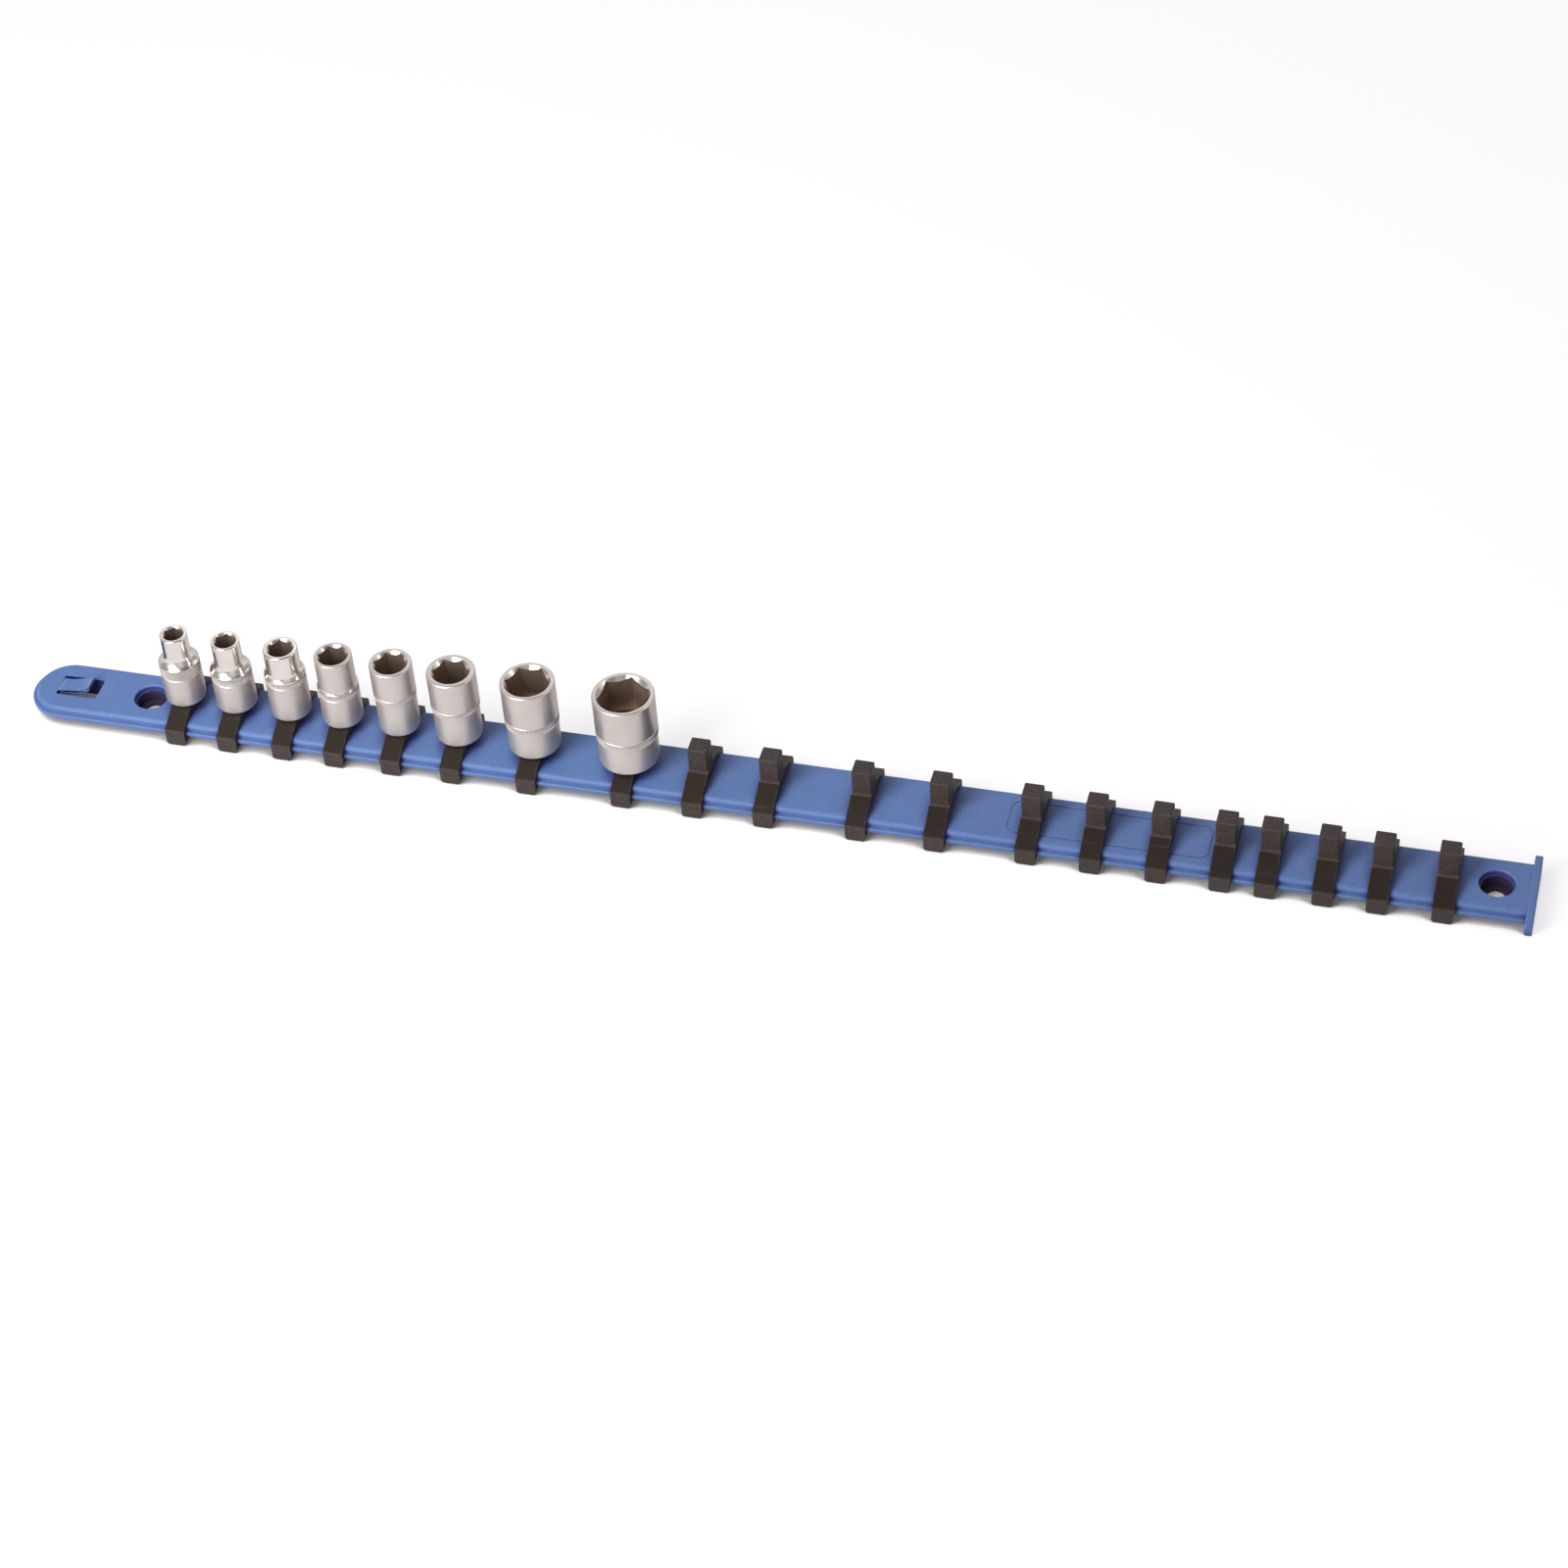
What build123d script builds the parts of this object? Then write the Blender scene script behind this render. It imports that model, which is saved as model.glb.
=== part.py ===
"""Socket rail: a moulded rail, twenty sliding clips and eight small sockets.

The rail lies along X, with its sprung catch at the left end and its stop plate
at the right. It stands on z = 0, +Y is its far long side, and the origin is in
the middle of its underside. All sizes are in millimetres.
"""
import os
from math import cos, radians

from build123d import *

os.makedirs("parts", exist_ok=True)

# Rail: overall sizes and the section across it
rail_length = 466.0
lip_width = 23.2            # over the two lips that the clips hook under
body_width = 20.6           # the raised middle
foot_width = 16.6           # the walls that it stands on
rail_top = 6.45
lip_underside = 3.1
lip_thickness = 1.4
lip_rounding = 0.35
shoulder_radius = 1.4
foot_wall = 1.6
top_wall = 1.6

# Stop plate across the right end
plate_thickness = 2.3
plate_width = 26.2
plate_height = 6.9
plate_rounding = 0.6

# Screw holes: a wide recess, a ledge, a deeper seat and a through hole
left_hole_from_end = 39.2
right_hole_from_plate = 9.4
recess_radius = 5.2
recess_depth = 1.6
seat_radius = 4.6
seat_depth = 5.4
screw_radius = 2.9
boss_wall = 1.8

# Sprung catch near the round end: a tongue cut free on three sides
tongue_from_end = 8.8
tongue_length = 10.9
tongue_width = 6.0
tongue_rise = 2.7
tongue_thickness = 1.2
side_slit = 1.2
end_slit = 2.4

# Fine line moulded round an oblong field on the top
field_length = 60.4
field_width = 13.4
field_corner = 3.0
field_place_share = 0.7325  # of the rail's length, from the round end
line_width = 0.35
line_depth = 0.15

# Clips
clip_width = 6.2
hook_width = 26.0           # over the two hooks
clip_slack = 0.15           # between clip and rail, all round
clip_foot = 0.25            # gap between the hooks and the bench
fold_height = 5.95          # where the sloping band turns down into the hook
finger_length = 2.7         # how far a hook reaches in below the lip
hook_rounding = 0.8
seat_height = 10.1          # where a socket rests
seat_ledge = 0.9
post_side = 5.95
post_height = 8.2
post_chamfer = 0.4          # upright and top edges
bump_radius = 0.8
bump_height = 3.0           # above the ledge
bump_standing = 0.16        # how far it stands out of the post
bump_offset = 1.3           # from the middle of the post's side
clip_place_shares = (0.0716, 0.1096, 0.1498, 0.1879, 0.2293, 0.2725, 0.3267,
                     0.3940, 0.4440, 0.4937, 0.5574, 0.6110, 0.6729, 0.7161,
                     0.7599, 0.8023, 0.8320, 0.8698, 0.9051, 0.9474)

# Sockets, from the round end: one on each of the first clips
socket_height = 25.0
drive_slack = 0.225         # between the square hole and the post, each side
drive_spare = 1.2           # square hole deeper than the post is tall
drive_lead = 0.3
drive_end_diameter = 12.6
base_chamfer = 0.6
band_step = 0.35            # a wide socket's lower band is this much smaller
flare_share = 2.0           # flare's length, of its step in radius
hex_depth = 12.0
entry_land = 0.15
relief_share = 0.85         # bore below the hexagon, of its half width
rim_share = 0.35            # outer rim's chamfer, of the wall
socket_hexes = (5.5, 6.0, 7.0, 8.0, 9.0, 10.0, 12.0, 14.0)
socket_walls = (1.05, 0.95, 1.25, 1.2, 1.35, 1.7, 1.4, 1.4)
collar_heights = (14.6, 14.2, 15.0, 13.6, 13.0, 11.8, 11.8, 10.4)
hex_turns = (45, 40, 52, 7, 3, 8, 7, 26)  # degrees

# Worked out from the sizes above
rail_left = -rail_length / 2
rail_right = rail_length / 2
round_centre = rail_left + lip_width / 2
plate_face = rail_right - plate_thickness
lip_top = lip_underside + lip_thickness
hollow_top = rail_top - top_wall
holes = ((rail_left + left_hole_from_end, 0), (plate_face - right_hole_from_plate, 0))
tongue_root = rail_left + tongue_from_end
tongue_tip = tongue_root + tongue_length
field_place = rail_left + field_place_share * rail_length
track_length = plate_face - tongue_tip
clip_places = [tongue_tip + share * track_length for share in clip_place_shares]
post_half = post_side / 2


def strip(width, end):
    """A long flat strip, round at the left and square at the right."""
    with Locations((round_centre, 0)):
        Circle(width / 2)
        Rectangle(end - round_centre, width, align=(Align.MIN, Align.CENTER))


# Rail, one moulding: foot walls, lips and a raised middle with soft shoulders
with BuildPart() as rail:
    with BuildSketch():
        strip(foot_width, rail_right)
    extrude(amount=lip_underside)
    with BuildSketch(Plane.XY.offset(lip_underside)):
        strip(lip_width, rail_right)
    extrude(amount=lip_thickness)
    fillet(rail.edges().group_by(Axis.Z)[-1], lip_rounding)
    with BuildSketch(Plane.XY.offset(lip_top)):
        strip(body_width, rail_right)
    extrude(amount=rail_top - lip_top)
    fillet(rail.edges().group_by(Axis.Z)[-1], shoulder_radius)

    # hollow underside from the left screw hole on, with a boss round each hole;
    # the end that holds the catch is solid
    with BuildSketch():
        with Locations(holes[0]):
            Rectangle(plate_face - holes[0][0], foot_width - 2 * foot_wall,
                      align=(Align.MIN, Align.CENTER))
        with Locations(*holes):
            Circle(recess_radius + boss_wall, mode=Mode.SUBTRACT)
    extrude(amount=hollow_top, mode=Mode.SUBTRACT)
    with Locations(*[(x, y, rail_top) for x, y in holes]):
        Hole(recess_radius, depth=recess_depth)
        CounterBoreHole(screw_radius, seat_radius, seat_depth, depth=rail_top)

    # stop plate
    with BuildSketch(Plane.YZ.offset(plate_face)):
        Rectangle(plate_width, plate_height, align=(Align.CENTER, Align.MIN))
    extrude(amount=plate_thickness)
    fillet(rail.faces().sort_by(Axis.X)[-1].edges(), plate_rounding)

    # catch: a window right through, and the tongue bent up in it
    with BuildSketch():
        with Locations((tongue_root, 0)):
            Rectangle(tongue_length + end_slit, tongue_width + 2 * side_slit,
                      align=(Align.MIN, Align.CENTER))
    extrude(amount=rail_top, mode=Mode.SUBTRACT)
    with BuildSketch(Plane.XZ):
        tip_top = (tongue_tip, rail_top + tongue_rise)
        tip_under = (tongue_tip, rail_top + tongue_rise - tongue_thickness)
        with BuildLine():
            TangentArc((tongue_root, rail_top), tip_top, tangent=(1, 0))
            TangentArc((tongue_root, hollow_top), tip_under, tangent=(1, 0))
            Line(tip_top, tip_under)
            Line((tongue_root, rail_top), (tongue_root, hollow_top))
        make_face()
    extrude(amount=tongue_width / 2, both=True)

    # fine line round the bare field
    with BuildSketch(Plane.XY.offset(rail_top)):
        with Locations((field_place, 0)):
            RectangleRounded(field_length, field_width, field_corner)
            RectangleRounded(field_length - 2 * line_width, field_width - 2 * line_width,
                             field_corner - line_width, mode=Mode.SUBTRACT)
    extrude(amount=-line_depth, mode=Mode.SUBTRACT)

rail.part.label = "rail"
export_step(rail.part, "parts/rail.step")

# Clips: a band over the rail with a hook at each side, and a square post
hook_half = hook_width / 2
under = lip_underside - clip_slack
over = lip_top + clip_slack
finger_end = lip_width / 2 - finger_length
lip_reach = lip_width / 2 + clip_slack
body_reach = body_width / 2 + clip_slack
bend = (body_width / 2 - shoulder_radius, rail_top - shoulder_radius)
for number, place in enumerate(clip_places, start=1):
    with BuildPart() as clip:
        with BuildSketch(Plane.XY.offset(seat_height)):
            with Locations((place, 0)):
                Rectangle(post_side, post_side)
        extrude(amount=post_height)
        chamfer(clip.edges().filter_by(Axis.Z) + clip.edges().group_by(Axis.Z)[-1],
                post_chamfer)
        with Locations((place - post_half + bump_radius - bump_standing,
                        -bump_offset, seat_height + bump_height)):
            Sphere(bump_radius)
        with BuildSketch(Plane.YZ.offset(place)):
            with BuildLine():
                CenterArc(bend, shoulder_radius + clip_slack, 0, 90)
                Polyline((bend[0], rail_top + clip_slack),
                         (0, rail_top + clip_slack),
                         (0, seat_height),
                         (post_half + seat_ledge, seat_height),
                         (hook_half, fold_height),
                         (hook_half, clip_foot),
                         (finger_end, clip_foot),
                         (finger_end, under),
                         (lip_reach, under),
                         (lip_reach, over),
                         (body_reach, over),
                         (body_reach, bend[1]))
            make_face()
            mirror(about=Plane.YZ)
        extrude(amount=clip_width / 2, both=True)
        fillet(clip.edges().filter_by(Axis.Y).group_by(Axis.Z)[0], hook_rounding)
    clip.part.label = f"clip_{number:02d}"
    export_step(clip.part, f"parts/{clip.part.label}.step")

# Sockets: turned outside, with a square hole below and a hexagon above
sizes = zip(clip_places, socket_hexes, socket_walls, collar_heights, hex_turns)
for number, (place, across, wall, collar, turn) in enumerate(sizes, start=1):
    corner = across / 2 / cos(radians(30))
    nose = corner + wall
    base = max(drive_end_diameter / 2, nose - band_step)
    drive_depth = post_height + drive_spare
    drive_side = post_side + 2 * drive_slack
    top = seat_height + socket_height
    with BuildPart() as socket:
        with BuildSketch(Plane((place, 0, seat_height), x_dir=(1, 0, 0), z_dir=(0, -1, 0))):
            with BuildLine():
                Polyline((0, 0), (base - base_chamfer, 0), (base, base_chamfer),
                         (base, collar))
                if base > nose:
                    flare_top = collar + flare_share * (base - nose)
                    TangentArc((nose, flare_top), (base, collar), tangent=(0, -1))
                else:
                    flare_top = collar + nose - base
                    Line((base, collar), (nose, flare_top))
                Polyline((nose, flare_top), (nose, socket_height), (0, socket_height),
                         (0, 0))
            make_face()
        revolve(axis=Axis((place, 0, 0), (0, 0, 1)))
        chamfer(socket.edges().group_by(Axis.Z)[-1], rim_share * wall)
        with BuildSketch(Plane.XY.offset(seat_height)):
            with Locations((place, 0)):
                Rectangle(drive_side, drive_side)
        extrude(amount=drive_depth, mode=Mode.SUBTRACT)
        chamfer(socket.faces().sort_by(Axis.Z)[0].inner_wires()[0].edges(), drive_lead)
        with BuildSketch(Plane.XY.offset(top)):
            with Locations((place, 0)):
                RegularPolygon(across / 2, 6, major_radius=False, rotation=turn)
        extrude(amount=-hex_depth, mode=Mode.SUBTRACT)
        with BuildSketch(Plane.XY.offset(top - hex_depth)):
            with Locations((place, 0)):
                Circle(relief_share * across / 2)
        extrude(amount=drive_depth + hex_depth - socket_height, mode=Mode.SUBTRACT)
        entry_depth = corner + entry_land - across / 2
        with Locations((place, 0, top)):
            Cone(across / 2, corner + entry_land, entry_depth,
                 align=(Align.CENTER, Align.CENTER, Align.MAX), mode=Mode.SUBTRACT)
    socket.part.label = f"socket_{number:02d}"
    export_step(socket.part, f"parts/{socket.part.label}.step")
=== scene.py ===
"""Socket rail: a blue moulded rail with twenty black clips and eight chrome sockets.

The shapes are drawn in millimetres, in the frame of the CAD model: the rail lies
along X with its catch at the left end, and stands on z = 0.
"""

from math import atan2, cos, hypot, pi, radians, tau

import bmesh
import bpy
from mathutils import Matrix, Vector


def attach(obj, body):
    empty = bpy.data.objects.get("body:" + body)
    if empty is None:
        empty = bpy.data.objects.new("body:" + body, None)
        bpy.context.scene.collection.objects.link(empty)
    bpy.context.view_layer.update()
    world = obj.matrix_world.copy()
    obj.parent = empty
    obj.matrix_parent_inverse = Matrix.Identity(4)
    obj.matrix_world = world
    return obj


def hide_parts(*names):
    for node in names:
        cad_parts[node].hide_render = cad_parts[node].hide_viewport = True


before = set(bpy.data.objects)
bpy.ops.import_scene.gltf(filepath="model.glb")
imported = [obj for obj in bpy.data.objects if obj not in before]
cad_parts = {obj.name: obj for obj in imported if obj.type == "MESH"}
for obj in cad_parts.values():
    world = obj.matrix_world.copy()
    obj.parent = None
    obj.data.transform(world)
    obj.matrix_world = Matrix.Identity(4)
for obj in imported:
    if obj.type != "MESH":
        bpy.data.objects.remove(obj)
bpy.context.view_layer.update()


# Studio, no part of the object: a plain white floor, one soft lamp box at the front
# left, two cards that only shiny faces mirror, and the camera, near the right end.

def node(tree, kind, inputs=(), **settings):
    """Place one shader node; an input is joined where it is a socket, and else filled in."""
    placed = tree.nodes.new("ShaderNode" + kind)
    for name, value in settings.items():
        setattr(placed, name, value)
    for key, value in dict(inputs).items():
        if isinstance(value, bpy.types.NodeSocket):
            tree.links.new(value, placed.inputs[key])
        else:
            placed.inputs[key].default_value = value
    return placed


def lamp_box(name, place, aim, width, height, watts):
    """A soft rectangular lamp that faces a point."""
    light = bpy.data.lights.new(name, "AREA")
    light.shape = "RECTANGLE"
    light.size, light.size_y = width, height
    light.energy = watts
    lamp = bpy.data.objects.new(name, light)
    lamp.location = place
    lamp.rotation_euler = (Vector(aim) - Vector(place)).to_track_quat("-Z", "Y").to_euler()
    bpy.context.collection.objects.link(lamp)
    return lamp


camera = bpy.data.objects.new("camera", bpy.data.cameras.new("camera"))
camera.data.lens = 87.52
camera.data.clip_start = 0.05
camera.location = (0.25562, -0.77878, 0.80283)
camera.rotation_euler = (radians(45.639), radians(3.268), radians(14.352))
bpy.context.collection.objects.link(camera)
scene = bpy.context.scene
scene.camera = camera
scene.view_settings.view_transform = "Standard"

lamp_box("main lamp", (-0.42, -0.62, 0.58), (-0.1, 0, 0), width=0.5, height=0.9, watts=11.2)
back_card = lamp_box("back card", (0.0, 0.75, 0.8), (-0.1, 0, 0), width=1.6, height=0.5, watts=2.6)
right_card = lamp_box("right card", (0.9, 0.1, 0.45), (-0.1, 0, 0.45), width=0.16, height=0.9,
                      watts=1.4)
back_card.visible_diffuse = False
right_card.visible_diffuse = False

# the air: even for the plastics, darker overhead and in upright stripes for shiny faces,
# and white behind the object
world = bpy.data.worlds.new("studio air")
world.use_nodes = True
tree = world.node_tree
tree.nodes.clear()
seen = node(tree, "LightPath").outputs
mirrored = node(tree, "Math", {0: seen["Is Glossy Ray"], 1: seen["Is Transmission Ray"]},
                operation="MAXIMUM")
way = node(tree, "SeparateXYZ", {0: node(tree, "TexCoord").outputs["Generated"]})
ceiling = node(tree, "MapRange", {"Value": way.outputs["Z"], "From Min": 0.5, "From Max": 0.95,
                                  "To Min": 0.88, "To Max": 0.25})
round_about = node(tree, "Math", {0: way.outputs["Y"], 1: way.outputs["X"]}, operation="ARCTAN2")
stripes, stripe_turn = 5.0, radians(60)
round_about = node(tree, "Math", {0: round_about.outputs[0], 1: stripes, 2: stripes * stripe_turn},
                   operation="MULTIPLY_ADD")
panels = node(tree, "Math", {0: round_about.outputs[0]}, operation="COSINE")
panels = node(tree, "MapRange", {"Value": panels.outputs[0], "From Min": -0.5, "From Max": 0.3,
                                 "To Min": 0.55})
ceiling = node(tree, "Math", {0: ceiling.outputs[0], 1: panels.outputs[0]}, operation="MULTIPLY")
level = node(tree, "Mix", {0: mirrored.outputs[0], 2: 0.37, 3: ceiling.outputs[0]})
level = node(tree, "Mix", {0: seen["Is Camera Ray"], 2: level.outputs[0], 3: 1.0})
tint = node(tree, "Mix", {0: seen["Is Diffuse Ray"], 6: (1, 1, 1, 1), 7: (1, 0.88, 1, 1)},
            data_type="RGBA")
air = node(tree, "Background", {"Color": tint.outputs[2], "Strength": level.outputs[0]})
node(tree, "OutputWorld", {"Surface": air.outputs[0]})
scene.world = world

# the floor glows a little, so that it is white without strong lamps, but not where the
# object shelters it
shape = bmesh.new()
bmesh.ops.create_grid(shape, x_segments=1, y_segments=1, size=3)
floor_mesh = bpy.data.meshes.new("floor")
shape.to_mesh(floor_mesh)
shape.free()
floor = bpy.data.objects.new("floor", floor_mesh)
bpy.context.collection.objects.link(floor)
paper = bpy.data.materials.new("white floor")
paper.use_nodes = True
paper.node_tree.nodes.clear()
tree = paper.node_tree
seen = node(tree, "LightPath").outputs
glow = node(tree, "Math", {0: seen["Is Glossy Ray"], 1: seen["Is Transmission Ray"]},
            operation="MAXIMUM")
glow = node(tree, "Math", {0: seen["Is Camera Ray"], 1: glow.outputs[0]}, operation="MAXIMUM")
sheltered = node(tree, "AmbientOcclusion", {"Distance": 0.011}, samples=8)
sheltered = node(tree, "MapRange", {"Value": sheltered.outputs["AO"], "From Min": 0.38,
                                    "From Max": 0.51, "To Min": 0.1})
glow = node(tree, "Math", {0: glow.outputs[0], 1: sheltered.outputs[0]}, operation="MULTIPLY")
glow_level = 0.72
glow = node(tree, "Math", {0: glow.outputs[0], 1: glow_level}, operation="MULTIPLY")
matt = node(tree, "BsdfDiffuse", {"Color": (0.38, 0.38, 0.38, 1)})
lit = node(tree, "Emission", {"Color": (1, 1, 1, 1), "Strength": glow.outputs[0]})
both = node(tree, "AddShader", {0: matt.outputs[0], 1: lit.outputs[0]})
node(tree, "OutputMaterial", {"Surface": both.outputs[0]})
floor_mesh.materials.append(paper)


# Rail: one moulding in blue plastic, with a lip along each side for the clips, a
# round end, a hollow underside and a stop plate. It is held down by two screws.

rail_length = 466.0
lip_width = 23.2
body_width = 20.6
foot_width = 16.6
rail_top = 6.45
lip_underside = 3.1
lip_top = 4.5
lip_rounding = 0.35
shoulder_radius = 1.4
wall = 1.6
hollow_top = rail_top - wall
rail_left, rail_right = -rail_length / 2, rail_length / 2
round_centre = rail_left + lip_width / 2
plate_thickness, plate_width, plate_height = 2.3, 26.2, 6.9
plate_face = rail_right - plate_thickness
left_hole_from_end, right_hole_from_plate = 39.2, 9.4
holes = (rail_left + left_hole_from_end, plate_face - right_hole_from_plate)
recess_radius, recess_depth, recess_rim = 5.2, 1.6, 0.3
seat_radius, seat_depth = 4.6, 5.4
screw_radius, boss_radius = 2.9, 7.0
tongue_from_end, tongue_length, tongue_width = 8.8, 10.9, 6.0
tongue_rise, tongue_thickness = 2.7, 1.2
tongue_root = rail_left + tongue_from_end
tongue_tip = tongue_root + tongue_length
side_slit, end_slit, window_corner = 1.2, 2.4, 0.6
window_half = tongue_width / 2 + side_slit
field_length, field_width, field_corner, field_share = 60.4, 13.4, 3.0, 0.7325
line_width, line_depth = 0.35, 0.15
overrun = 1.0               # how far a cut goes past the face that it starts from
cuts_top = 9.0              # where the cuts made from above start


def rounded(shape, geom, radius, segments, affect="EDGES", **settings):
    """Round edges, or corners of a flat outline."""
    bmesh.ops.bevel(shape, geom=geom, offset=radius, offset_type="OFFSET", segments=segments,
                    profile=0.5, affect=affect, material=-1, **settings)


def line(shape, points, roundings=()):
    """Draw a run of straight edges through points, and round some of its corners."""
    corners = [shape.verts.new(point) for point in points]
    for pair in zip(corners, corners[1:]):
        shape.edges.new(pair)
    for index, radius, segments in roundings:
        rounded(shape, [corners[index]], radius, segments, "VERTICES")


def turned(shape, outline, place, roundings=(), steps=64):
    """Turn an outline of (radius, height) points once round an upright axis."""
    line(shape, [(place + radius, 0, height) for radius, height in outline], roundings)
    loose = [edge for edge in shape.edges if not edge.link_faces]
    ends = list({vert for edge in loose for vert in edge.verts})
    bmesh.ops.spin(shape, geom=ends + loose, cent=(place, 0, 0), axis=(0, 0, 1),
                   angle=tau, steps=steps, use_merge=True)


def block(shape, low, high, rounding=0.0, segments=3):
    """A block between two corners, with every edge rounded."""
    middle = [(a + b) / 2 for a, b in zip(low, high)]
    sides = [b - a for a, b in zip(low, high)]
    made = bmesh.ops.create_cube(shape, size=1, matrix=Matrix.Translation(middle)
                                 @ Matrix.Diagonal((*sides, 1)))
    if rounding:
        edges = list({edge for vert in made["verts"] for edge in vert.link_edges})
        rounded(shape, edges, rounding, segments)


def pulled_out(shape, geom, way):
    """Extrude faces or a run of edges in one direction."""
    if isinstance(geom[0], bmesh.types.BMFace):
        pulled = bmesh.ops.extrude_face_region(shape, geom=geom)
    else:
        pulled = bmesh.ops.extrude_edge_only(shape, edges=geom)
    ends = [item for item in pulled["geom"] if isinstance(item, bmesh.types.BMVert)]
    bmesh.ops.translate(shape, vec=way, verts=ends)


def uprights(shape):
    """The upright edges of a plain block."""
    return [edge for edge in shape.edges if abs(edge.verts[0].co.z - edge.verts[1].co.z) > 0.5]


def finished(shape, name):
    """Clean a shape, face it outwards and make it an object, in metres."""
    bmesh.ops.remove_doubles(shape, verts=shape.verts, dist=0.001)
    bare = [edge for edge in shape.edges if edge.is_wire]
    bmesh.ops.delete(shape, geom=bare, context="EDGES")
    bmesh.ops.recalc_face_normals(shape, faces=shape.faces)
    if shape.calc_volume(signed=True) < 0:
        bmesh.ops.reverse_faces(shape, faces=shape.faces)
    bmesh.ops.scale(shape, vec=(0.001, 0.001, 0.001), verts=shape.verts)
    mesh = bpy.data.meshes.new(name)
    shape.to_mesh(mesh)
    shape.free()
    made = bpy.data.objects.new(name, mesh)
    bpy.context.collection.objects.link(made)
    return made


def worked(piece, tools, operation="DIFFERENCE"):
    """Cut tools out of a piece, or join them to it, and keep the plain mesh."""
    for tool in tools:
        step = piece.modifiers.new(tool.name, "BOOLEAN")
        step.operation = operation
        step.solver = "EXACT"
        step.object = tool
    bpy.context.view_layer.update()
    ready = piece.evaluated_get(bpy.context.evaluated_depsgraph_get())
    mesh = bpy.data.meshes.new_from_object(ready)
    piece.modifiers.clear()
    piece.data = mesh
    for tool in tools:
        bpy.data.objects.remove(tool)


def shade(piece):
    """Smooth shading, with a crease wherever faces meet at more than 28 degrees."""
    piece.data.shade_smooth()
    piece.data.set_sharp_from_angle(angle=radians(28))
    even = piece.modifiers.new("even normals", "WEIGHTED_NORMAL")
    even.keep_sharp = True
    even.weight = 60


# the section across the rail, turned half round at the end and drawn out along it
shape = bmesh.new()
half = lip_width / 2
section = [(0, rail_top), (body_width / 2, rail_top), (body_width / 2, lip_top), (half, lip_top),
           (half, lip_underside), (foot_width / 2, lip_underside), (foot_width / 2, 0), (0, 0)]
line(shape, [(round_centre, across, height) for across, height in section],
     [(1, shoulder_radius, 6), (3, lip_rounding, 3), (4, lip_rounding, 3), (5, 0.3, 3),
      (6, 0.25, 2), (2, 0.2, 3)])
start = list(shape.edges)
spun = bmesh.ops.spin(shape, geom=list(shape.verts) + start, cent=(round_centre, 0, 0),
                      axis=(0, 0, 1), angle=pi, steps=48)
end = [item for item in spun["geom_last"] if isinstance(item, bmesh.types.BMEdge)]
pulled_out(shape, start + end, (plate_face + overrun - round_centre, 0, 0))
bmesh.ops.remove_doubles(shape, verts=shape.verts, dist=0.001)
bmesh.ops.holes_fill(shape, edges=[edge for edge in shape.edges if edge.is_boundary])
rail = finished(shape, "rail_moulding")

shape = bmesh.new()
block(shape, (plate_face, -plate_width / 2, 0), (rail_right, plate_width / 2, plate_height), 0.45, 4)
worked(rail, [finished(shape, "stop plate")], "UNION")

# the hollow underside goes round a boss at each screw hole; the catch's end is solid
bosses = []
for place in holes:
    shape = bmesh.new()
    turned(shape, [(0, -2 * overrun), (boss_radius, -2 * overrun), (boss_radius, rail_top),
                   (0, rail_top)], place)
    bosses.append(finished(shape, "boss"))
shape = bmesh.new()
block(shape, (holes[0], wall - foot_width / 2, -overrun),
      (plate_face, foot_width / 2 - wall, hollow_top))
hollow = finished(shape, "hollow")
worked(hollow, bosses)

# the screw holes, the catch's window and the fine line are cut in one go with the hollow
cuts = [hollow]
ledge, seat_floor = rail_top - recess_depth, rail_top - seat_depth
for place in holes:
    shape = bmesh.new()
    turned(shape, [(0, cuts_top), (recess_radius + recess_rim, cuts_top),
                   (recess_radius + recess_rim, rail_top), (recess_radius, rail_top - recess_rim),
                   (recess_radius, ledge), (seat_radius, ledge), (seat_radius, seat_floor),
                   (screw_radius, seat_floor), (screw_radius, -overrun), (0, -overrun)],
           place, [(3, recess_rim, 3), (5, 0.25, 2)])
    cuts.append(finished(shape, "screw hole"))
shape = bmesh.new()
block(shape, (tongue_root, -window_half, -overrun), (tongue_tip + end_slit, window_half, cuts_top))
far_corners = [edge for edge in uprights(shape) if edge.verts[0].co.x > tongue_root + 1]
rounded(shape, far_corners, window_corner, 4)
cuts.append(finished(shape, "catch window"))

# the fine line is a thin frame round an oblong field, cut into the top
shape = bmesh.new()
field_place = rail_left + field_share * rail_length
block(shape, (field_place - field_length / 2, -field_width / 2, rail_top - line_depth),
      (field_place + field_length / 2, field_width / 2, cuts_top))
rounded(shape, uprights(shape), field_corner, 10)
lids = [face for face in shape.faces if abs(face.normal.z) > 0.9]
bmesh.ops.inset_region(shape, faces=lids, thickness=line_width, use_even_offset=True)
inner = [face for face in shape.faces if abs(face.normal.z) > 0.9
         and abs(face.calc_center_median().y) < 0.01 and len(face.verts) > 4]
bmesh.ops.bridge_loops(shape, edges=[edge for face in inner for edge in face.edges])
bmesh.ops.delete(shape, geom=inner, context="FACES_ONLY")
cuts.append(finished(shape, "field line"))
worked(rail, cuts)

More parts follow.
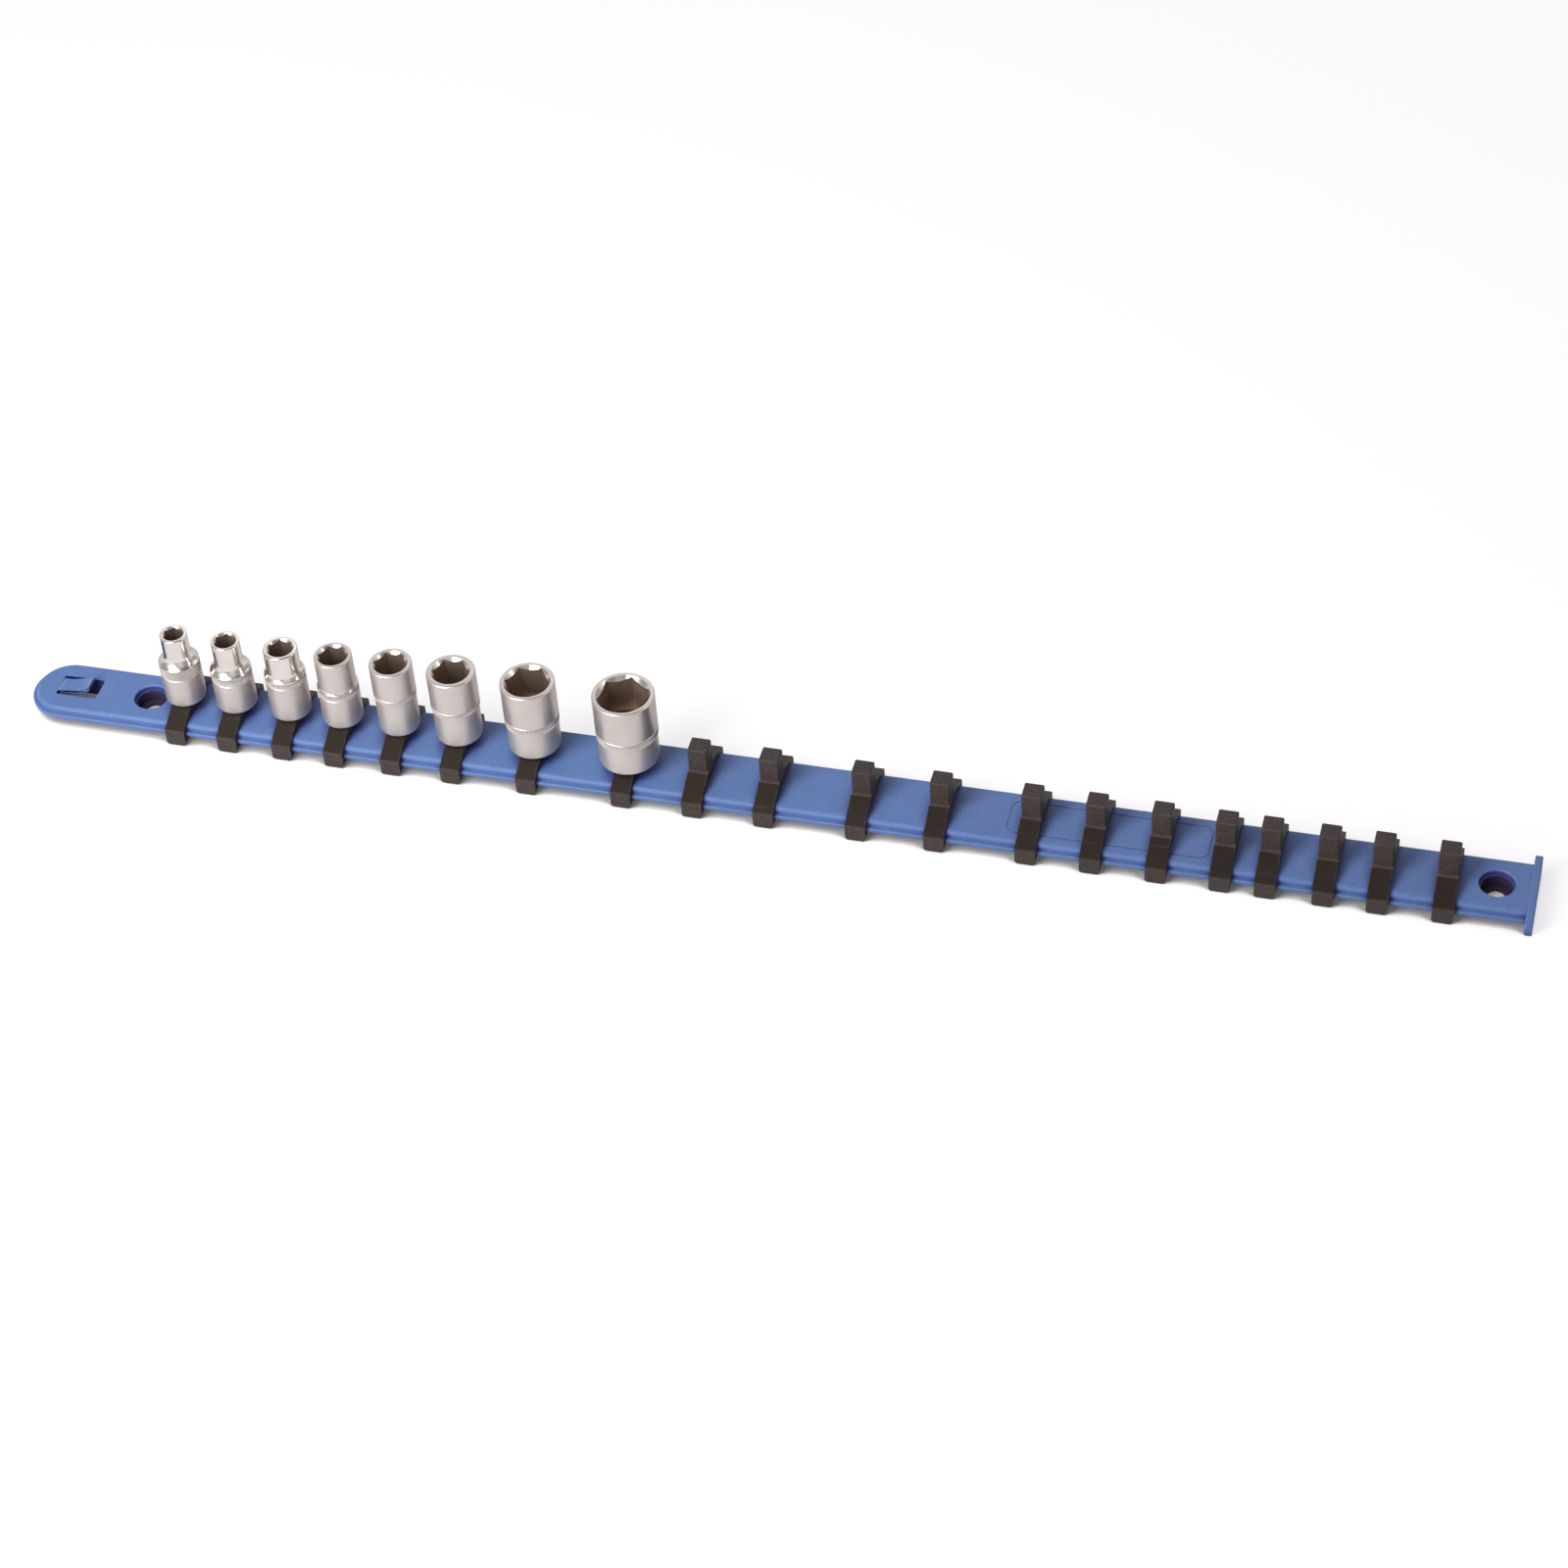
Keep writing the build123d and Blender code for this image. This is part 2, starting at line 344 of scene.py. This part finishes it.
# the catch's tongue, bent up in its window; its two faces turn up at bends that are
# measured from the root, and each bend is eased over a reach
bend_above, bend_below, bend_reach = 5.78, 5.89, 5.6
outline = [(tongue_root, rail_top), (tongue_root + bend_above, rail_top),
           (tongue_tip, rail_top + tongue_rise),
           (tongue_tip, rail_top + tongue_rise - tongue_thickness),
           (tongue_root + bend_below, hollow_top), (tongue_root, hollow_top)]
shape = bmesh.new()
line(shape, [(along, -tongue_width / 2, height) for along, height in outline],
     [(1, bend_reach, 10), (4, bend_reach, 10)])
bmesh.ops.contextual_create(shape, geom=list(shape.verts))
pulled_out(shape, list(shape.faces), (0, tongue_width, 0))
soft = [edge for edge in shape.edges if min(vert.co.x for vert in edge.verts) > tongue_root + 0.01
        and edge.is_manifold and edge.calc_face_angle(0) > 1]
rounded(shape, soft, 0.25, 3)
tongue = finished(shape, "rail_tongue")


def group(name, inputs, outputs):
    """A shader node group with named inputs and outputs."""
    tree = bpy.data.node_groups.new(name, "ShaderNodeTree")
    for label, kind in inputs:
        tree.interface.new_socket(name=label, in_out="INPUT", socket_type="NodeSocket" + kind)
    for label, kind in outputs:
        tree.interface.new_socket(name=label, in_out="OUTPUT", socket_type="NodeSocket" + kind)
    return tree, tree.nodes.new("NodeGroupInput").outputs, tree.nodes.new("NodeGroupOutput")


# moulded surface: a soft mottle, a fine grain and a few light scuffs along the piece
tree, given, result = group("moulded surface",
                            [("Tint", "Color"), ("Scuff Tint", "Color"), ("Grain Scale", "Float"),
                             ("Grain Depth", "Float"), ("Scuffs", "Float"), ("Gloss", "Float")],
                            [("Color", "Color"), ("Roughness", "Float"), ("Height", "Float")])
where = node(tree, "TexCoord").outputs["Object"]
mottle = node(tree, "TexNoise", {"Vector": where, "Scale": 70, "Detail": 4, "Roughness": 0.6})
grain = node(tree, "TexNoise", {"Vector": where, "Scale": given["Grain Scale"], "Detail": 3})
drawn_out = node(tree, "Mapping", {"Vector": where, "Scale": (60, 900, 500)})
streak = node(tree, "TexNoise", {"Vector": drawn_out.outputs[0], "Scale": 1, "Detail": 6,
                                 "Roughness": 0.65})
scuff = node(tree, "MapRange", {"Value": streak.outputs[0], "From Min": 0.6, "From Max": 0.78})
scuff = node(tree, "Math", {0: scuff.outputs[0], 1: given["Scuffs"]}, operation="MULTIPLY")
shift = node(tree, "MapRange", {"Value": mottle.outputs[0], "From Min": 0.3, "From Max": 0.7,
                                "To Min": 0.93, "To Max": 1.07})
tint = node(tree, "VectorMath", {0: given["Tint"], "Scale": shift.outputs[0]}, operation="SCALE")
speckle = node(tree, "MapRange", {"Value": grain.outputs[0], "To Min": -0.75, "To Max": 0.75})
speckle = node(tree, "Math", {0: speckle.outputs[0], 1: given["Grain Depth"], 2: 1.0},
               operation="MULTIPLY_ADD")
tint = node(tree, "VectorMath", {0: tint.outputs[0], "Scale": speckle.outputs[0]}, operation="SCALE")
tint = node(tree, "Mix", {"Factor": scuff.outputs[0], 6: tint.outputs[0], 7: given["Scuff Tint"]},
            data_type="RGBA")
dull = node(tree, "Math", {0: mottle.outputs[0], 1: 0.16, 2: given["Gloss"]},
            operation="MULTIPLY_ADD")
dull = node(tree, "Math", {0: scuff.outputs[0], 1: 0.2, 2: dull.outputs[0]},
            operation="MULTIPLY_ADD")
depth = node(tree, "Math", {0: grain.outputs[0], 1: given["Grain Depth"]}, operation="MULTIPLY")
tree.links.new(tint.outputs[2], result.inputs["Color"])
tree.links.new(dull.outputs[0], result.inputs["Roughness"])
tree.links.new(depth.outputs[0], result.inputs["Height"])
moulded_surface = tree

# paler edges: where the real normal and a rounded one part; partly wear, partly a painted highlight
tree, given, result = group("worn and highlighted edges", [("Width", "Float"), ("Amount", "Float")],
                            [("Mask", "Float")])
bevel = node(tree, "Bevel", {"Radius": given["Width"]}, samples=6)
true = node(tree, "NewGeometry")
apart = node(tree, "VectorMath", {0: bevel.outputs[0], 1: true.outputs["Normal"]},
             operation="DOT_PRODUCT")
edge = node(tree, "MapRange", {"Value": apart.outputs["Value"], "From Min": 0.998,
                               "From Max": 0.95})
patchy = node(tree, "TexNoise", {"Vector": node(tree, "TexCoord").outputs["Object"],
                                 "Scale": 350, "Detail": 5})
patchy = node(tree, "MapRange", {"Value": patchy.outputs[0], "From Min": 0.35, "From Max": 0.65})
wear_and_highlight = node(tree, "Math", {0: edge.outputs[0], 1: patchy.outputs[0]}, operation="MULTIPLY")
wear_and_highlight = node(tree, "Math", {0: wear_and_highlight.outputs[0], 1: given["Amount"]}, operation="MULTIPLY")
tree.links.new(wear_and_highlight.outputs[0], result.inputs["Mask"])
worn_and_highlighted_edges = tree

# painted shade: in corners and close beside whatever stands on the surface, the colour darkens
tree, given, result = group("painted shade near corners", [("Reach", "Float"), ("Amount", "Float")],
                            [("Mask", "Float")])
open_sky = node(tree, "AmbientOcclusion", {"Distance": given["Reach"]}, samples=8)
closed = node(tree, "MapRange", {"Value": open_sky.outputs["AO"], "From Min": 0.88,
                                 "From Max": 0.38})
shade_mask = node(tree, "Math", {0: closed.outputs[0], 1: given["Amount"]}, operation="MULTIPLY")
tree.links.new(shade_mask.outputs[0], result.inputs["Mask"])
painted_corner_shade = tree


def plastic(name, tint, scuff_and_highlight_tint, painted_shade_tint, grain_scale, grain_depth, scuffs, gloss, edge_wear_and_highlight,
            shine=0.2):
    """Moulded plastic: the shared surface, edges paler from wear and a painted highlight, and
    painted shade in corners, on a soft, slightly glossy skin.
    """
    material = bpy.data.materials.new(name)
    material.use_nodes = True
    tree = material.node_tree
    skin = tree.nodes["Principled BSDF"]
    surface = node(tree, "Group", node_tree=moulded_surface)
    for key, value in (("Tint", tint), ("Scuff Tint", scuff_and_highlight_tint), ("Grain Scale", grain_scale),
                       ("Grain Depth", grain_depth), ("Scuffs", scuffs), ("Gloss", gloss)):
        surface.inputs[key].default_value = value
    # edges paler, partly from wear and partly as a painted highlight along them
    wear_and_highlight = node(tree, "Group", node_tree=worn_and_highlighted_edges)
    wear_and_highlight.inputs["Width"].default_value = 0.00045
    wear_and_highlight.inputs["Amount"].default_value = edge_wear_and_highlight
    tint = node(tree, "Mix", {"Factor": wear_and_highlight.outputs[0], 6: surface.outputs["Color"], 7: scuff_and_highlight_tint},
                data_type="RGBA")
    # painted shade: the colour is mixed towards a dark tint near corners and beside other pieces
    corner_shade = node(tree, "Group", node_tree=painted_corner_shade)
    corner_shade.inputs["Reach"].default_value = 0.005
    corner_shade.inputs["Amount"].default_value = 0.9
    tint = node(tree, "Mix", {"Factor": corner_shade.outputs[0], 6: tint.outputs[2], 7: painted_shade_tint},
                data_type="RGBA")
    skin.inputs["Specular IOR Level"].default_value = shine
    bump = node(tree, "Bump", {"Height": surface.outputs["Height"], "Distance": 0.0001,
                               "Strength": 0.6})
    tree.links.new(tint.outputs[2], skin.inputs["Base Color"])
    tree.links.new(surface.outputs["Roughness"], skin.inputs["Roughness"])
    tree.links.new(bump.outputs[0], skin.inputs["Normal"])
    return material


# the third colour of each plastic is its painted shade tint, used near corners and beside other
# pieces
blue = plastic("blue moulded plastic", (0.108, 0.19, 0.41, 1), (0.21, 0.3, 0.5, 1),
               (0.038, 0.042, 0.19, 1), grain_scale=2600, grain_depth=0.5, scuffs=0.25, gloss=0.36,
               edge_wear_and_highlight=0.6)
# painted shade: a darker violet blue copy of the plastic for the screw recesses and the catch's
# window walls
shaded = plastic("blue plastic with painted shade in the recesses", (0.06, 0.075, 0.28, 1), (0.1, 0.13, 0.34, 1),
                 (0.04, 0.035, 0.15, 1), grain_scale=2600, grain_depth=0.5, scuffs=0.4, gloss=0.5,
                 edge_wear_and_highlight=0.3)
# painted shade: a near-black violet for the deep screw seats
screw_seat_shade = plastic("blue plastic with painted shade in the screw seats", (0.045, 0.03, 0.07, 1), (0.08, 0.08, 0.18, 1),
                (0.045, 0.03, 0.07, 1), grain_scale=2600, grain_depth=0.6, scuffs=0.6, gloss=0.5,
                edge_wear_and_highlight=0.3)
painted_recess_shade, painted_screw_seat_shade = 1, 2
for piece in (rail, tongue):
    piece.data.materials.clear()
    for surface_material in (blue, shaded, screw_seat_shade):
        piece.data.materials.append(surface_material)
    for face in piece.data.polygons:
        where = face.center * 1000
        from_hole = min(hypot(where.x - place, where.y) for place in holes)
        in_window = (piece is rail and abs(where.y) < window_half + 0.01
                     and tongue_root - 0.01 < where.x < tongue_tip + end_slit + 0.01
                     and abs(face.normal.z) < 0.3 and where.z < rail_top - 0.15)
        # the screw seats take the near-black painted shade
        if from_hole < seat_radius + 0.1 and where.z < ledge - 0.05:
            face.material_index = painted_screw_seat_shade
        # the recess and window walls take the painted shade
        elif from_hole < recess_radius + 0.05 and where.z < rail_top - 0.35 or in_window:
            face.material_index = painted_recess_shade
    shade(piece)
    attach(piece, "rail")
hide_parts("rail")


# Clips: black moulded plastic, twenty alike. The band springs over the rail and hooks
# under both lips; the square post holds a socket, and a small bump on it grips.

track = plate_face - tongue_tip
clip_places = [tongue_tip + share * track for share in
               (0.0716, 0.1096, 0.1498, 0.1879, 0.2293, 0.2725, 0.3267, 0.3940, 0.4440, 0.4937,
                0.5574, 0.6110, 0.6729, 0.7161, 0.7599, 0.8023, 0.8320, 0.8698, 0.9051, 0.9474)]
clip_width = 6.2
slack = 0.15                # between clip and rail
hook_half = 13.0
hook_foot = 0.25            # gap between the hooks and the bench
finger_length = 2.7         # how far a hook reaches in below the lip
fold_height = 5.95
seat_height = 10.1
seat_ledge = 0.9
post_side = 5.95
post_height = 8.2
bump_radius, bump_standing, bump_offset, bump_height = 0.8, 0.16, 1.3, 3.0
seat_half = post_side / 2 + seat_ledge
finger_end = half - finger_length
body_half = body_width / 2 + slack
inner_radius = shoulder_radius + slack
grained = plastic("black grained plastic", (0.053, 0.041, 0.036, 1), (0.15, 0.125, 0.11, 1),
                  (0.048, 0.036, 0.031, 1), grain_scale=1500, grain_depth=1.0, scuffs=0.35,
                  gloss=0.5, edge_wear_and_highlight=0.9)
sleek = plastic("black smooth plastic", (0.027, 0.02, 0.015, 1), (0.12, 0.1, 0.09, 1),
                (0.018, 0.013, 0.011, 1), grain_scale=3000, grain_depth=0.15, scuffs=0.5,
                gloss=0.34, edge_wear_and_highlight=0.9, shine=0.1)
# painted highlight: a paler copy of the black plastic for the flat seat, so its ledge reads as lit
seat_highlight = plastic("black plastic with a painted highlight on the seat", (0.09, 0.075, 0.068, 1), (0.17, 0.145, 0.13, 1),
                 (0.075, 0.06, 0.053, 1), grain_scale=1500, grain_depth=0.6, scuffs=0.6, gloss=0.4,
                 edge_wear_and_highlight=0.9)
band_finish, painted_seat_highlight = 1, 2

# the profile is drawn across the rail, its corners are rounded, and it is pulled out to a
# band; the post and its bump stand in the band's flat seat
for number, place in enumerate(clip_places, start=1):
    shape = bmesh.new()
    left = place - clip_width / 2
    profile = [(-seat_half, seat_height), (seat_half, seat_height), (hook_half, fold_height),
               (hook_half, hook_foot), (finger_end, hook_foot), (finger_end, lip_underside - slack),
               (half + slack, lip_underside - slack), (half + slack, lip_top + slack),
               (body_half, lip_top + slack), (body_half, rail_top + slack)]
    profile += [(-across, height) for across, height in profile[:1:-1]]
    ring = [shape.verts.new((left, across, height)) for across, height in profile]
    shape.faces.new(ring)
    # the seat's two corners, the two folds into the hooks, and the fit over the rail's shoulders
    for index, radius, segments in ((1, 0.25, 3), (0, 0.25, 3), (2, 0.5, 4), (17, 0.5, 4),
                                    (9, inner_radius, 5), (10, inner_radius, 5)):
        rounded(shape, [ring[index]], radius, segments, "VERTICES")
    pulled_out(shape, list(shape.faces), (clip_width, 0, 0))
    bmesh.ops.recalc_face_normals(shape, faces=shape.faces)
    feet = [edge for edge in shape.edges
            if max(vert.co.z for vert in edge.verts) < hook_foot + 0.01
            and abs(edge.verts[0].co.x - edge.verts[1].co.x) < 0.01]
    rounded(shape, feet, 1.0, 5)
    # sharp edges, and the outlines of the two flat sides, the only faces with many corners
    rims = [edge for edge in shape.edges if edge.calc_face_angle(0) > 1.2
            or any(len(face.verts) > 12 for face in edge.link_faces)]
    rounded(shape, rims, 0.14, 2, clamp_overlap=True)
    block(shape, (place - post_side / 2, -post_side / 2, seat_height - 1),
          (place + post_side / 2, post_side / 2, seat_height + post_height), 0.45, 4)
    bump = (place - post_side / 2 + bump_radius - bump_standing, -bump_offset,
            seat_height + bump_height)
    bmesh.ops.create_uvsphere(shape, u_segments=16, v_segments=10, radius=bump_radius,
                              matrix=Matrix.Translation(bump))
    clip = finished(shape, f"clip_{number:02d}_moulding")
    for surface_material in (grained, sleek, seat_highlight):
        clip.data.materials.append(surface_material)
    for face in clip.data.polygons:
        across, height = abs(face.center.y) * 1000, face.center.z * 1000
        if 0.3 < face.normal.z < 0.97 and seat_half < across < hook_half - 0.2:
            face.material_index = band_finish
        # the flat seat takes the painted highlight
        elif face.normal.z > 0.8 and abs(height - seat_height) < 0.1:
            face.material_index = painted_seat_highlight
    shade(clip)
    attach(clip, f"clip_{number:02d}")
    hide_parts(f"clip_{number:02d}")


# Sockets: chrome-plated steel, turned from bar. The upper end is polished, a knurled
# ring runs round the middle and the lower end is satin; each rests on its clip's seat.

def chrome(name, tint, metal, dull, ring_depth, grit):
    """Plated steel with fine turning lines, faint smears and a little grit in the satin parts."""
    material = bpy.data.materials.new(name)
    material.use_nodes = True
    tree = material.node_tree
    skin = tree.nodes["Principled BSDF"]
    skin.inputs["Metallic"].default_value = metal
    skin.inputs["Specular Tint"].default_value = (0.6, 0.57, 0.56, 1)
    where = node(tree, "TexCoord").outputs["Object"]
    level = node(tree, "Mapping", {"Vector": where, "Scale": (12, 12, 5200)})
    rings = node(tree, "TexNoise", {"Vector": level.outputs[0], "Scale": 1, "Detail": 4,
                                    "Roughness": 0.7})
    smear = node(tree, "TexNoise", {"Vector": where, "Scale": 160, "Detail": 5, "Roughness": 0.6})
    specks = node(tree, "TexNoise", {"Vector": where, "Scale": 5200, "Detail": 2})
    tone = node(tree, "MapRange", {"Value": smear.outputs[0], "From Min": 0.3, "From Max": 0.7,
                                   "To Min": 0.94, "To Max": 1.04})
    colour = node(tree, "VectorMath", {0: tint, "Scale": tone.outputs[0]}, operation="SCALE")
    gloss = node(tree, "MapRange", {"Value": smear.outputs[0], "From Min": 0.35, "From Max": 0.75,
                                    "To Min": dull, "To Max": dull + 0.1})
    lines = node(tree, "Math", {0: rings.outputs[0], 1: ring_depth}, operation="MULTIPLY")
    height = node(tree, "Math", {0: specks.outputs[0], 1: grit, 2: lines.outputs[0]},
                  operation="MULTIPLY_ADD")
    bump = node(tree, "Bump", {"Height": height.outputs[0], "Distance": 0.00005, "Strength": 0.5})
    tree.links.new(colour.outputs[0], skin.inputs["Base Color"])
    tree.links.new(gloss.outputs[0], skin.inputs["Roughness"])
    tree.links.new(bump.outputs[0], skin.inputs["Normal"])
    return material


polished = chrome("polished chrome", (0.67, 0.615, 0.58), metal=1.0, dull=0.14, ring_depth=0.1,
                  grit=0.0)
buffed = chrome("buffed chrome", (0.565, 0.515, 0.485), metal=0.78, dull=0.29, ring_depth=0.12,
                grit=0.0)
satin = chrome("satin chrome", (0.58, 0.53, 0.5), metal=0.74, dull=0.38, ring_depth=0.3, grit=0.35)
broached = chrome("broached bore", (0.45, 0.35, 0.28), metal=0.85, dull=0.4, ring_depth=0.5,
                  grit=0.3)
polished_finish, satin_finish, bore_finish = 1, 2, 3

# each socket: across the flats, wall, foot of the flare or step, turn of the hexagon in
# degrees, and the lower and upper end of the knurled ring; heights are measured from the seat
sockets = ((5.5, 1.05, 14.6, 45, 10.6, 14.4), (6.0, 0.95, 14.2, 40, 11.2, 13.9),
           (7.0, 1.25, 15.6, 52, 13.2, 15.2), (8.0, 1.2, 13.6, 7, 11.2, 13.3),
           (9.0, 1.35, 12.8, 3, 13.15, 14.5), (10.0, 1.7, 11.5, 8, 11.85, 13.4),
           (12.0, 1.4, 9.4, 7, 9.75, 12.4), (14.0, 1.4, 9.6, 26, 9.95, 12.3))
socket_height = 25.0
least_base = 6.3            # radius of the drive end
band_step = 0.35            # a wide socket's lower band is this much smaller
longest_flare = 3.4
knurl_pitch, knurl_depth = 0.6, 0.18
hex_depth, entry_land, entry_rise = 12.0, 0.15, 0.3
relief_share = 0.85         # bore below the hexagon, of its half width
drive_half, drive_depth = 3.2, 9.4
for number, (across, thick, collar, turn, low, high) in enumerate(sockets, start=1):
    place = clip_places[number - 1]
    corner = across / 2 / cos(radians(30))
    nose = corner + thick
    base = max(least_base, nose - band_step)
    foot, top = seat_height, seat_height + socket_height
    low, high, edge = foot + low, foot + high, foot + collar
    if base > nose:
        # the drive end is the wider one: a groove below the ring, and a flare above it
        groove_depth, groove_half = 0.17, 0.25
        step = base - nose
        reach = min(2 * step, longest_flare)
        tangent = (step * step + reach * reach) / (2 * reach)
        rows = (low + 0.45, high - 0.2)
        outline = [(0, foot), (base, foot), (base, low - groove_half), (base - groove_depth, low),
                   (base, low + groove_half), (base, rows[0]), (base, rows[1]), (base, high),
                   (base, edge), (nose, edge + reach - tangent), (nose, top), (0, top)]
        roundings = [(9, 0.97 * tangent, 10), (8, 0.12, 2)]
    else:
        # the nose is the wider one: a small step below the ring, and a groove above it
        groove_depth, groove_half = 0.15, 0.2
        rows = (low + 0.2, high - 0.4)
        outline = [(0, foot), (base, foot), (base, edge), (nose, edge + nose - base), (nose, low),
                   (nose, rows[0]), (nose, rows[1]), (nose, high - groove_half),
                   (nose - groove_depth, high), (nose, high + groove_half), (nose, top), (0, top)]
        roundings = [(2, 0.1, 2), (3, 0.1, 2)]

    # knurl: every other point of the ring's two rows is drawn in
    widest = max(base, nose)
    teeth = round(tau * widest / knurl_pitch)
    shape = bmesh.new()
    roundings += [(1, 0.55, 4), (10, 0.4 * thick, 5)]
    turned(shape, outline, place, roundings, steps=2 * teeth)
    cut = [vert for vert in shape.verts if min(abs(vert.co.z - row) for row in rows) < 0.01
           and hypot(vert.co.x - place, vert.co.y) > widest - 0.02
           and round(atan2(vert.co.y, vert.co.x - place) * teeth / pi) % 2]
    shrink = 1 - knurl_depth / widest
    bmesh.ops.scale(shape, vec=(shrink, shrink, 1), verts=cut,
                    space=Matrix.Translation((-place, 0, 0)))
    piece = finished(shape, f"socket_{number:02d}_turned")

    # the hexagon with its entry cone above, the square hole below, and a bore between them
    tools = []
    shape = bmesh.new()
    tall = hex_depth + overrun
    bmesh.ops.create_cone(shape, cap_ends=True, segments=6, radius1=corner, radius2=corner,
                          depth=tall,
                          matrix=Matrix.Translation((place, 0, top - hex_depth + tall / 2))
                          @ Matrix.Rotation(radians(turn + 30), 4, "Z"))
    rounded(shape, uprights(shape), 0.16, 3)
    tools.append(finished(shape, "hexagon"))
    shape = bmesh.new()
    mouth = corner + entry_land
    turned(shape, [(0, top - mouth), (mouth, top), (mouth + entry_rise, top + entry_rise),
                   (0, top + entry_rise)], place, steps=96)
    tools.append(finished(shape, "entry cone"))
    shape = bmesh.new()
    relief = relief_share * across / 2
    relief_low, relief_high = foot + 9, top - hex_depth + 0.1
    turned(shape, [(0, relief_low), (relief, relief_low), (relief, relief_high), (0, relief_high)],
           place)
    tools.append(finished(shape, "relief bore"))
    shape = bmesh.new()
    block(shape, (place - drive_half, -drive_half, foot - overrun),
          (place + drive_half, drive_half, foot + drive_depth))
    tools.append(finished(shape, "square drive"))
    worked(piece, tools)

    # broached inside, satin up to the ring, polished on the rim, the step and the small noses
    piece.data.materials.clear()
    for surface_material in (buffed, polished, satin, broached):
        piece.data.materials.append(surface_material)
    rim_low = top - 0.05 - 0.2 * across / 2
    for face in piece.data.polygons:
        height = face.center.z * 1000
        radius = hypot(face.center.x * 1000 - place, face.center.y * 1000)
        if radius < min(base, nose) - 0.7 and foot + 0.05 < height < rim_low:
            face.material_index = bore_finish
        elif height < high + 0.1 and radius > base - 1.2:
            face.material_index = satin_finish
        elif radius < corner + 0.12 or number < 4 or nose + 0.05 < radius < base - 0.03:
            face.material_index = polished_finish
    shade(piece)
    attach(piece, f"socket_{number:02d}")
    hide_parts(f"socket_{number:02d}")
